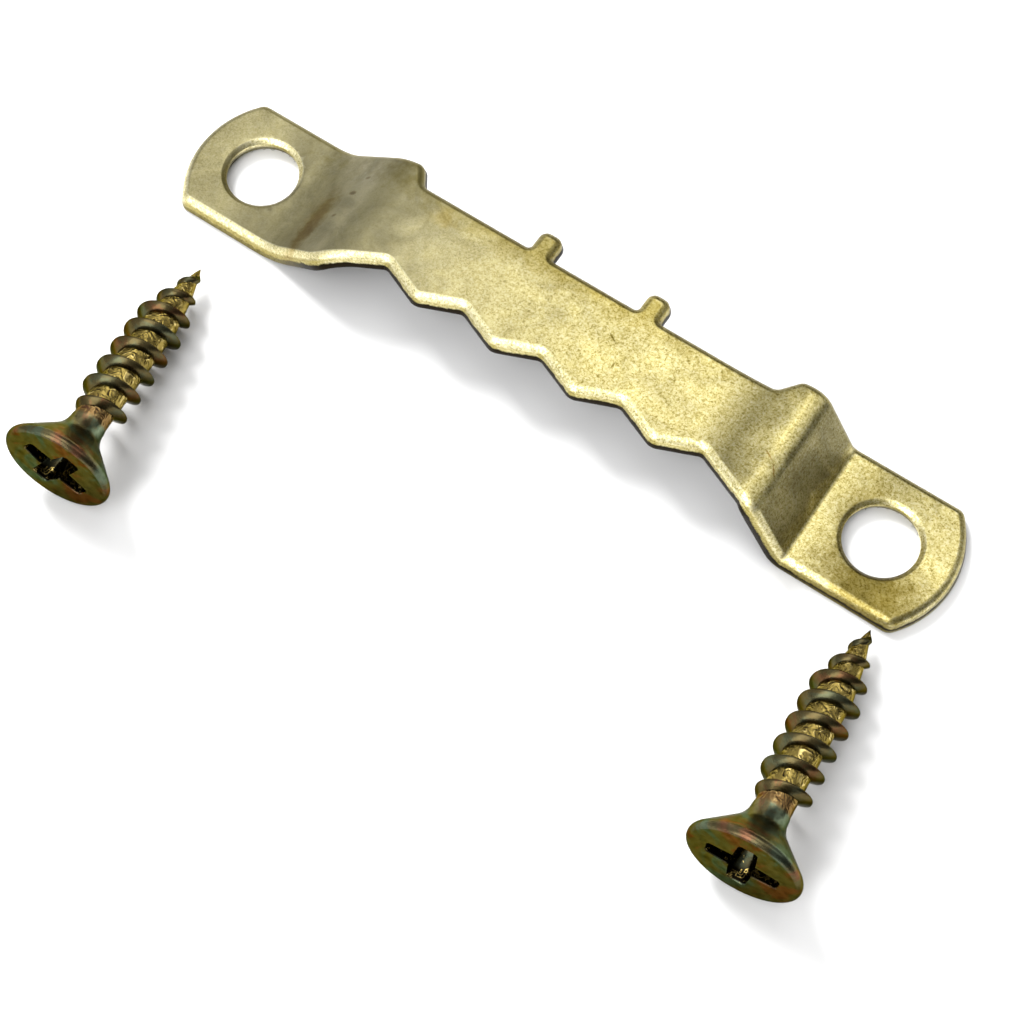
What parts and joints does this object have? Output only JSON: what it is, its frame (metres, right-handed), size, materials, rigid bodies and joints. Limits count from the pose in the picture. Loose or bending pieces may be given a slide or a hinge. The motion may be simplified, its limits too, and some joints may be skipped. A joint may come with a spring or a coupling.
{
  "type": "sawtooth picture hanger",
  "caption": "Pressed strip hanger with a raised sawtooth edge between two pierced flat tabs, and loose countersunk cross-recess screws for fixing it to a frame.",
  "frame": {"origin": "midway between the centres of the two screw holes, on the plane of the tabs' undersides", "axes": "+X along the plate towards the tab with the steep ramp, +Y across the plate from the teeth towards the nibs, which is up when the hanger is in use, +Z away from the surface that the tabs lie on"},
  "size_m": [0.0466, 0.0242, 0.0055],
  "materials": {
    "brass_plated_steel": "pale satin brass plating with a fine sparkling grain",
    "yellow_zinc_steel": "yellow zinc passivation with olive, green and pink patches"
  },
  "bodies": {
    "hanger": {"hanger_plate": "brass_plated_steel"},
    "loose_left_screw": {"left_screw": "yellow_zinc_steel"},
    "loose_right_screw": {"right_screw": "yellow_zinc_steel"}
  },
  "joints": [
    {"name": "left_screw_lift", "type": "slide", "parent": "hanger", "child": "loose_left_screw", "axis": [0, 0, 1], "range_m": [0, 0.02]},
    {"name": "right_screw_lift", "type": "slide", "parent": "hanger", "child": "loose_right_screw", "axis": [0, 0, 1], "range_m": [0, 0.02]}
  ]
}
